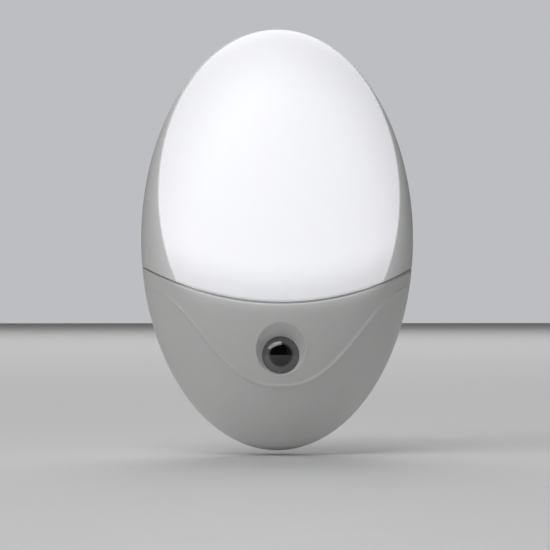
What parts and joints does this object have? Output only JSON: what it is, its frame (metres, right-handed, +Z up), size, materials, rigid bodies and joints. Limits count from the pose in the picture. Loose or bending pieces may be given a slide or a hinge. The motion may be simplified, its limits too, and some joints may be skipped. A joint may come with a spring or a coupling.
{
  "type": "plug-in night light",
  "caption": "Egg-shaped plug-in night light with a frosted diffuser dome, an opaque lower cover with a dusk sensor, and a two-pin plug block on its back.",
  "frame": {"origin": "midway between the two pins' axes, on the engagement face of the plug block", "axes": "+Z up along the body's long axis, the lit front faces -Y, the plug pins point along +Y"},
  "size_m": [0.062, 0.071, 0.096],
  "materials": {
    "white_abs": "fine satin moulded white ABS",
    "frosted_diffuser": "frosted translucent polypropylene, lit from inside",
    "white_polystyrene": "matt white moulded polystyrene",
    "smoked_lens": "polished smoked acrylic",
    "black_plastic": "matt black moulded plastic",
    "photocell_ceramic": "epoxy-coated ceramic disc",
    "tinned_wire": "bright tinned copper",
    "board_laminate": "paper-phenolic laminate",
    "led_package": "white package with yellow phosphor",
    "yellow_box": "moulded yellow box",
    "capacitor_sleeve": "shrunk plastic sleeve on an aluminium can",
    "black_epoxy": "moulded black epoxy",
    "resistor_lacquer": "glossy flameproof lacquer",
    "nickel_brass": "nickel-plated turned brass",
    "sleeve_plastic": "moulded white insulating sleeve",
    "retainer_nylon": "natural moulded nylon",
    "zinc_steel": "bright zinc-plated steel",
    "blue_wire": "blue extruded insulation",
    "brown_wire": "brown extruded insulation"
  },
  "bodies": {
    "root": {"rear_housing": "white_abs", "lower_cover": "white_abs", "diffuser": "frosted_diffuser", "reflector": "white_polystyrene", "sensor_lens": "smoked_lens", "sensor_shroud": "black_plastic", "photocell": "photocell_ceramic", "photocell_leads": "tinned_wire", "main_board": "board_laminate", "leds": "led_package", "film_capacitor": "yellow_box", "electrolytic_capacitor": "capacitor_sleeve", "bridge_rectifier": "black_epoxy", "fuse_resistor": "resistor_lacquer", "chip_resistors": "black_epoxy", "transistor": "black_epoxy", "pin_left": "nickel_brass", "pin_right": "nickel_brass", "pin_sleeve_left": "sleeve_plastic", "pin_sleeve_right": "sleeve_plastic", "pin_retainer": "retainer_nylon", "retainer_screw": "zinc_steel", "wire_left": "blue_wire", "wire_right": "brown_wire", "board_screws": "zinc_steel", "housing_screws": "zinc_steel"}
  },
  "joints": []
}
